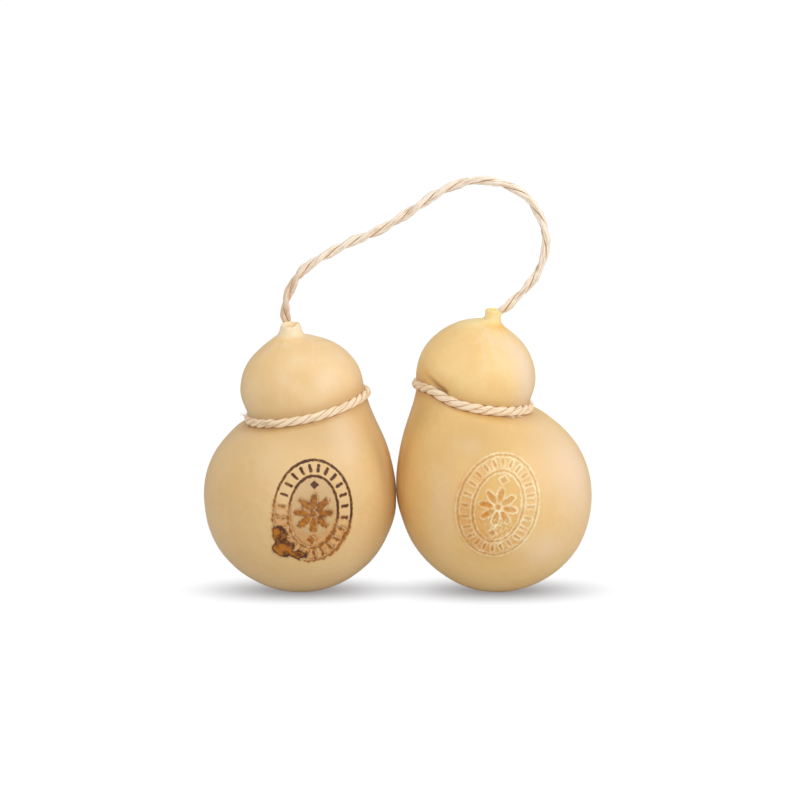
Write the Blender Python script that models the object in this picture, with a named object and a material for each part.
"""A pair of caciocavallo: two pear-shaped stretched-curd cheeses tied to the ends of one cord.

Each cheese is one solid: a round belly on a small flat foot, a neck, a domed head and the knob in which the curd
was closed. A twisted rope is sunk round each neck and ends in a wound knot behind it, and the carrying cord rises
from one knot, stands over the pair in an arch and comes down to the other.

Metres, +Z up. X runs across the pair and the front faces -Y. The origin is on the floor, in the middle of the pair.
"""

import math
from collections import namedtuple

import bmesh
import bpy
from mathutils import Vector

# ---------------------------------------------------------------- driving dimensions, in millimetres and degrees

MM = 0.001
GAP = 0.35                      # left between solids that touch

FOOT_RADIUS = 14.0              # the flat spot that each cheese stands on
FOOT_LEAN = 3.0                 # slope of the underside where it leaves the flat spot

ROPE_RADIUS = 3.0               # of the rope round a neck, over its strands
ROPE_VALLEY_RADIUS = 2.3        # of the same rope, between its strands
ROPE_STRANDS = 3
ROPE_STRAND_TURNS = 32          # strands that cross one line round the whole neck
NECK_DIP = 1.5                  # the front of each neck rope lies lower than its back

CORD_RADIUS = 2.7               # of the carrying cord, over its two strands
CORD_POINT_SPACING = 12.0       # between the points of the cord's tube

KNOT_TURNS = 3                  # turns of cord wound round its own end
KNOT_CORE_RADIUS = 4.3          # from the knot's axis to the middle of a turn

# One side of a cheese, seen from the front. "out" is measured from the foot's centre and "up" from the floor.
# A lean is the outline's direction, counted from straight outwards (0) through straight up (90).
Side = namedtuple("Side", "belly neck_lean_below neck_lean_above head knob_root knob_lean")

# The neck rope's middle line: a circle, lifted at its right by "roll".
Neck = namedtuple("Neck", "x up radius roll")

# The knob: rings of (rise above its root, radius), its hollow top, and how far it leans.
Knob = namedtuple("Knob", "rings dish lean_right tip_forward")

Cheese = namedtuple("Cheese", "name foot_x left right neck knob rind")

CHEESES = (
    Cheese(
        name="cheese_left",
        foot_x=-58.7,
        left=Side(belly=(58.9, 55.9), neck_lean_below=143.4, neck_lean_above=95.5,
                  head=(35.9, 123.0), knob_root=(13.2, 155.0), knob_lean=139.9),
        right=Side(belly=(57.8, 55.9), neck_lean_below=98.7, neck_lean_above=95.0,
                   head=(38.4, 122.9), knob_root=(3.2, 155.0), knob_lean=175.4),
        neck=Neck(x=-54.2, up=112.1, radius=36.25, roll=12.5),
        knob=Knob(rings=((2.0, 7.0), (4.4, 6.1), (7.2, 5.5)), dish=((7.6, 4.6), (6.5, 3.2)),
                  lean_right=-2.0, tip_forward=6.0),
        rind=(224, 190, 142),
    ),
    Cheese(
        name="cheese_right",
        foot_x=59.5,
        left=Side(belly=(60.6, 63.3), neck_lean_below=95.4, neck_lean_above=95.0,
                  head=(48.8, 131.0), knob_root=(8.5, 164.9), knob_lean=183.9),
        right=Side(belly=(58.1, 55.8), neck_lean_below=151.6, neck_lean_above=92.3,
                   head=(23.1, 129.2), knob_root=(2.4, 161.5), knob_lean=143.8),
        neck=Neck(x=44.9, up=118.4, radius=34.2, roll=-11.4),
        knob=Knob(rings=((2.0, 4.8), (4.6, 4.5), (7.4, 4.7)), dish=((7.8, 3.8), (7.2, 2.4)),
                  lean_right=3.0, tip_forward=4.0),
        rind=(232, 196, 144),
    ),
)
ROPE_COLOUR = (228, 198, 160)

# Lengths of the outline's curve handles, as shares of the distance between the two points that they join.
HANDLE_FOOT = 0.08
HANDLE_BELLY_BELOW = 0.60
HANDLE_BELLY_ABOVE = 0.50
HANDLE_NECK_BELOW = 0.27
HANDLE_NECK_ABOVE = 0.24
HANDLE_HEAD_BELOW = 0.41
HANDLE_HEAD_ABOVE = 0.45
HANDLE_KNOB = 0.30

# Heights above the neck rope's plane at which the cheese has a ring, so that the groove keeps its round shape.
GROOVE_HEIGHTS = (-5.2, -4.1, -3.3, -2.8, -1.8, -0.6, 0.6, 1.8, 2.8, 3.3, 4.1, 5.2)

POINTS_AROUND = 52
RINGS_BELOW_NECK = 14
RINGS_ABOVE_NECK = 10
KNOT_POINTS_AROUND = 16
KNOT_POINTS_PER_TURN = 4
KNOT_TURN_ARC = math.radians(135.0)
SPLINE_STEPS = 24

# The carrying cord's middle line, from the left knot up behind the left head and its knob, over the pair, and down
# behind the right knob and head to the right knot.
CORD_ROUTE = (
    (-54.2, 42.9, 127.6), (-54.3, 42.0, 133.4), (-55.0, 40.0, 139.2), (-57.0, 35.8, 144.0),
    (-60.2, 30.0, 148.4), (-63.7, 23.3, 153.4), (-66.5, 17.0, 159.2), (-67.5, 13.2, 166.0),
    (-66.9, 11.3, 174.0), (-63.5, 10.6, 182.8), (-57.6, 11.1, 191.3), (-47.7, 11.6, 199.0),
    (-37.7, 12.0, 204.4), (-26.6, 12.4, 209.8), (-14.4, 12.7, 214.9), (-3.5, 12.9, 220.4),
    (7.6, 13.0, 227.6), (18.5, 13.1, 235.0), (28.4, 13.1, 240.8), (39.3, 12.9, 244.9),
    (50.4, 12.7, 246.0), (61.2, 12.4, 244.4), (71.2, 12.0, 240.1), (79.0, 11.5, 233.5),
    (84.5, 10.9, 224.8), (87.6, 10.3, 215.4), (87.9, 9.6, 205.0), (84.8, 8.9, 194.6),
    (79.1, 8.4, 185.2), (71.9, 8.4, 177.4), (65.3, 9.0, 171.0), (61.0, 10.4, 167.5),
    (57.9, 13.2, 165.0), (56.0, 18.0, 162.3), (54.0, 24.2, 158.7), (51.6, 30.0, 154.6),
    (48.4, 35.8, 149.8), (46.0, 39.6, 144.6), (45.1, 41.4, 138.8), (44.9, 42.3, 132.8),
)


# ---------------------------------------------------------------- the outline of a cheese


def direction(lean):
    """Unit vector of an outline's lean, in (out, up)."""
    return Vector((math.cos(math.radians(lean)), math.sin(math.radians(lean))))


def curve_point(start, start_lean, start_share, end, end_lean, end_share, t):
    """Point at t on the curve that leaves one point and reaches the next in the given directions."""
    start = Vector(start)
    end = Vector(end)
    chord = (end - start).length
    first = start + direction(start_lean) * start_share * chord
    second = end - direction(end_lean) * end_share * chord
    s = 1.0 - t
    return s ** 3 * start + 3 * s * s * t * first + 3 * s * t * t * second + t ** 3 * end


def outline_below(side, neck_point, u):
    """Outline from the foot (u = 0) past the belly's widest point (1) to the neck (2)."""
    if u <= 1.0:
        return curve_point((FOOT_RADIUS, 0.0), FOOT_LEAN, HANDLE_FOOT,
                           side.belly, 90.0, HANDLE_BELLY_BELOW, u)
    return curve_point(side.belly, 90.0, HANDLE_BELLY_ABOVE,
                       neck_point, side.neck_lean_below, HANDLE_NECK_BELOW, u - 1.0)


def outline_above(side, neck_point, u):
    """Outline from the neck (u = 0) past the head's widest point (1) to the root of the knob (2)."""
    if u <= 1.0:
        return curve_point(neck_point, side.neck_lean_above, HANDLE_NECK_ABOVE,
                           side.head, 90.0, HANDLE_HEAD_BELOW, u)
    return curve_point(side.head, 90.0, HANDLE_HEAD_ABOVE,
                       side.knob_root, side.knob_lean, HANDLE_KNOB, u - 1.0)


# ---------------------------------------------------------------- the frame of a neck rope

Frame = namedtuple("Frame", "centre across back axis radius")


def neck_frame(neck):
    """Centre and axes of the circle that the neck rope follows."""
    roll = math.radians(neck.roll)
    dip = math.radians(NECK_DIP)
    across = Vector((math.cos(roll), 0.0, math.sin(roll)))
    upright = Vector((-math.sin(roll), 0.0, math.cos(roll)))
    back = Vector((0.0, math.cos(dip), 0.0)) + upright * math.sin(dip)
    return Frame(Vector((neck.x, 0.0, neck.up)), across, back, across.cross(back), neck.radius)


def pressed_by_rope(point, frame):
    """The point, moved inwards if the rope's groove takes the place where it was."""
    reach = ROPE_RADIUS + GAP
    offset = point - frame.centre
    height = offset.dot(frame.axis)
    if abs(height) >= reach:
        return point
    radial = offset - frame.axis * height
    limit = frame.radius - math.sqrt(reach * reach - height * height)
    if radial.length <= limit:
        return point
    return frame.centre + frame.axis * height + radial.normalized() * limit


# ---------------------------------------------------------------- the cheeses


def section(left, right, dip):
    """Ring of points through a leftmost and a rightmost point, tipped forward by dip degrees."""
    centre = (left + right) / 2.0
    across = (right - left) / 2.0
    upright = Vector((-across.z, 0.0, across.x)).normalized()
    tip = math.radians(dip)
    back = (Vector((0.0, math.cos(tip), 0.0)) + upright * math.sin(tip)) * across.length
    turn = 2.0 * math.pi / POINTS_AROUND
    return [centre + across * math.cos(i * turn) + back * math.sin(i * turn) for i in range(POINTS_AROUND)]


def side_points(cheese, frame):
    """The two sides of a cheese as (sign of X, side, its neck point in (out, up))."""
    sides = []
    for sign, side in ((-1, cheese.left), (1, cheese.right)):
        neck = frame.centre + frame.across * frame.radius * sign
        sides.append((sign, side, (sign * (neck.x - cheese.foot_x), neck.z)))
    return sides


def crossing(outline, side, neck_point, place, frame, height):
    """Where the outline stands at a height above the neck rope's plane, found by halving."""
    low, high = 0.0, 2.0
    while high - low > 1e-6:
        middle = (low + high) / 2.0
        if (place(outline(side, neck_point, middle)) - frame.centre).dot(frame.axis) < height:
            low = middle
        else:
            high = middle
    return (low + high) / 2.0


def knob_sections(cheese, left, right):
    """Rings of the knob, and the middle of its hollow top, from the two ends of the outline."""
    knob = cheese.knob
    root = (left + right) / 2.0
    root_roll = math.atan2(right.z - left.z, right.x - left.x)
    lean = math.radians(knob.lean_right)
    rise = Vector((math.sin(lean), -math.sin(math.radians(knob.tip_forward)) / 2.0, math.cos(lean)))
    top = knob.rings[-1][0]
    rings = []
    for height, radius in knob.rings + knob.dish:
        share = min(height / top, 1.0)
        roll = root_roll * (1.0 - share) - lean * share
        reach = Vector((math.cos(roll), 0.0, math.sin(roll))) * radius
        centre = root + rise * height
        dip = NECK_DIP + (knob.tip_forward - NECK_DIP) * share
        rings.append(section(centre - reach, centre + reach, dip))
    return rings, sum(rings[-1], Vector()) / POINTS_AROUND


def cheese_sections(cheese):
    """All rings of a cheese, from its foot to the hollow top of its knob, in millimetres."""
    frame = neck_frame(cheese.neck)
    below = []
    above = []
    for sign, side, neck_point in side_points(cheese, frame):

        def place(outline_point, sign=sign):
            return Vector((cheese.foot_x + sign * outline_point.x, 0.0, outline_point.y))

        under = [crossing(outline_below, side, neck_point, place, frame, h) for h in GROOVE_HEIGHTS if h < 0]
        over = [crossing(outline_above, side, neck_point, place, frame, h) for h in GROOVE_HEIGHTS if h > 0]
        steps_below = [under[0] * i / RINGS_BELOW_NECK for i in range(RINGS_BELOW_NECK)]
        steps_above = [over[-1] + (2.0 - over[-1]) * (i + 1) / RINGS_ABOVE_NECK for i in range(RINGS_ABOVE_NECK)]
        below.append([place(outline_below(side, neck_point, u)) for u in steps_below + under])
        above.append([place(outline_above(side, neck_point, u)) for u in over + steps_above])
    rings = []
    for i, (left, right) in enumerate(zip(*below)):
        share = min(max(2.0 * i / RINGS_BELOW_NECK - 1.0, 0.0), 1.0)
        rings.append(section(left, right, NECK_DIP * share))
    for left, right in zip(*above):
        rings.append(section(left, right, NECK_DIP))
    rings = [[pressed_by_rope(point, frame) for point in ring] for ring in rings]
    knob_rings, top = knob_sections(cheese, above[0][-1], above[1][-1])
    return rings + knob_rings, top


def make_cheese(cheese):
    """One cheese: a skin over its rings, closed by the flat foot and the hollow top of the knob."""
    rings, top = cheese_sections(cheese)
    foot = sum(rings[0], Vector()) / POINTS_AROUND
    mesh = bmesh.new()
    loops = [[mesh.verts.new(point * MM) for point in ring] for ring in rings]
    bottom_vertex = mesh.verts.new(foot * MM)
    top_vertex = mesh.verts.new(top * MM)
    for i in range(POINTS_AROUND):
        j = (i + 1) % POINTS_AROUND
        mesh.faces.new((bottom_vertex, loops[0][j], loops[0][i]))
        for lower, upper in zip(loops, loops[1:]):
            mesh.faces.new((lower[i], lower[j], upper[j], upper[i]))
        mesh.faces.new((loops[-1][i], loops[-1][j], top_vertex))
    material = make_material(cheese.name + "_rind", cheese.rind, 0.42)
    return add_object(cheese.name, mesh, material)


# ---------------------------------------------------------------- ropes, knots and cord


def make_neck_rope(name, frame, material):
    """The rope sunk round a neck: a closed ring whose strands lie in a left-handed twist."""
    points = 3 * ROPE_STRANDS
    stations = 3 * ROPE_STRAND_TURNS
    step = 2.0 * math.pi / points
    mesh = bmesh.new()
    loops = []
    for k in range(stations):
        along = 2.0 * math.pi * k / stations
        outwards = frame.across * math.cos(along) + frame.back * math.sin(along)
        centre = frame.centre + outwards * frame.radius
        loop = []
        for j in range(points):
            radius = ROPE_VALLEY_RADIUS if j % 3 == 0 else ROPE_RADIUS
            turn = (j - k) * step
            spoke = outwards * math.cos(turn) - frame.axis * math.sin(turn)
            loop.append(mesh.verts.new((centre + spoke * radius) * MM))
        loops.append(loop)
    for k in range(stations):
        here = loops[k]
        after = loops[(k + 1) % stations]
        shift = -stations if k == stations - 1 else 0
        for j in range(points):
            i = (j + 1) % points
            mesh.faces.new((here[j], here[i], after[(i + shift) % points], after[(j + shift) % points]))
    return add_object(name, mesh, material)


def make_knot(name, cord_end, cord_next, material):
    """A knot of cord turns wound on the cord's own end, as one ribbed barrel in line with the cord."""
    axis = (cord_next - cord_end).normalized()
    half = KNOT_TURNS * CORD_RADIUS
    centre = cord_end - axis * (half + GAP)
    sideways = axis.cross(Vector((0.0, 1.0, 0.0))).normalized()
    profile = [(0.0, -half)]
    for turn in range(KNOT_TURNS):
        middle = (2 * turn + 1) * CORD_RADIUS - half
        for i in range(KNOT_POINTS_PER_TURN):
            angle = KNOT_TURN_ARC * (i / (KNOT_POINTS_PER_TURN - 1) - 0.5)
            radius = KNOT_CORE_RADIUS + CORD_RADIUS * math.cos(angle)
            profile.append((radius, middle + CORD_RADIUS * math.sin(angle)))
    profile.append((0.0, half))
    mesh = bmesh.new()
    verts = [mesh.verts.new((centre + sideways * out + axis * along) * MM) for out, along in profile]
    edges = [mesh.edges.new(pair) for pair in zip(verts, verts[1:])]
    bmesh.ops.spin(mesh, geom=verts + edges, cent=centre * MM, axis=axis,
                   angle=2.0 * math.pi, steps=KNOT_POINTS_AROUND, use_merge=True)
    bmesh.ops.remove_doubles(mesh, verts=mesh.verts, dist=1e-6)
    return add_object(name, mesh, material)


def smooth_route(points):
    """Points along the smooth curve through a route, a tube's spacing apart, in millimetres."""
    points = [Vector(point) for point in points]
    padded = [2 * points[0] - points[1]] + points + [2 * points[-1] - points[-2]]
    fine = [points[0]]
    for before, start, end, after in zip(padded, padded[1:], padded[2:], padded[3:]):
        for i in range(1, SPLINE_STEPS + 1):
            t = i / SPLINE_STEPS
            fine.append(0.5 * (2 * start + (end - before) * t
                               + (2 * before - 5 * start + 4 * end - after) * t * t
                               + (3 * start - 3 * end + after - before) * t ** 3))
    lengths = [0.0]
    for a, b in zip(fine, fine[1:]):
        lengths.append(lengths[-1] + (b - a).length)
    count = round(lengths[-1] / CORD_POINT_SPACING)
    sampled = []
    for k in range(count + 1):
        target = lengths[-1] * k / count
        i = max(index for index, length in enumerate(lengths) if length <= target + 1e-9)
        sampled.append(fine[i])
    return sampled


def make_cord(name, route, material):
    """The carrying cord as a plain tube along its route, from knot to knot."""
    curve = bpy.data.curves.new(name, "CURVE")
    curve.dimensions = "3D"
    curve.bevel_depth = CORD_RADIUS * MM
    curve.bevel_resolution = 2
    curve.use_fill_caps = True
    spline = curve.splines.new("POLY")
    spline.points.add(len(route) - 1)
    for spline_point, place in zip(spline.points, route):
        spline_point.co = (*(place * MM), 1.0)
    curve.materials.append(material)
    cord = bpy.data.objects.new(name, curve)
    bpy.context.scene.collection.objects.link(cord)
    return cord


# ---------------------------------------------------------------- materials and the scene


def linear(channel):
    """A display colour value from 0 to 255 as linear light."""
    value = channel / 255.0
    return value / 12.92 if value <= 0.04045 else ((value + 0.055) / 1.055) ** 2.4


def make_material(name, colour, roughness):
    """A plain material of one display colour."""
    material = bpy.data.materials.new(name)
    material.use_nodes = True
    shader = material.node_tree.nodes["Principled BSDF"]
    shader.inputs["Base Color"].default_value = (*(linear(channel) for channel in colour), 1.0)
    shader.inputs["Roughness"].default_value = roughness
    shader.inputs["Metallic"].default_value = 0.0
    return material


def add_object(name, mesh, material):
    """A scene object from a closed bmesh, smooth but for its sharp edges."""
    bmesh.ops.recalc_face_normals(mesh, faces=mesh.faces)
    data = bpy.data.meshes.new(name)
    mesh.to_mesh(data)
    mesh.free()
    data.materials.append(material)
    data.shade_smooth()
    data.set_sharp_from_angle(angle=math.radians(50.0))
    obj = bpy.data.objects.new(name, data)
    bpy.context.scene.collection.objects.link(obj)
    return obj


def main():
    for obj in list(bpy.data.objects):
        bpy.data.objects.remove(obj)
    rope = make_material("natural_rope", ROPE_COLOUR, 0.9)
    route = smooth_route(CORD_ROUTE)
    for cheese in CHEESES:
        make_cheese(cheese)
        make_neck_rope(cheese.name.replace("cheese", "neck_rope"), neck_frame(cheese.neck), rope)
    make_knot("neck_knot_left", route[0], route[1], rope)
    make_knot("neck_knot_right", route[-1], route[-2], rope)
    make_cord("carrying_cord", route, rope)


main()
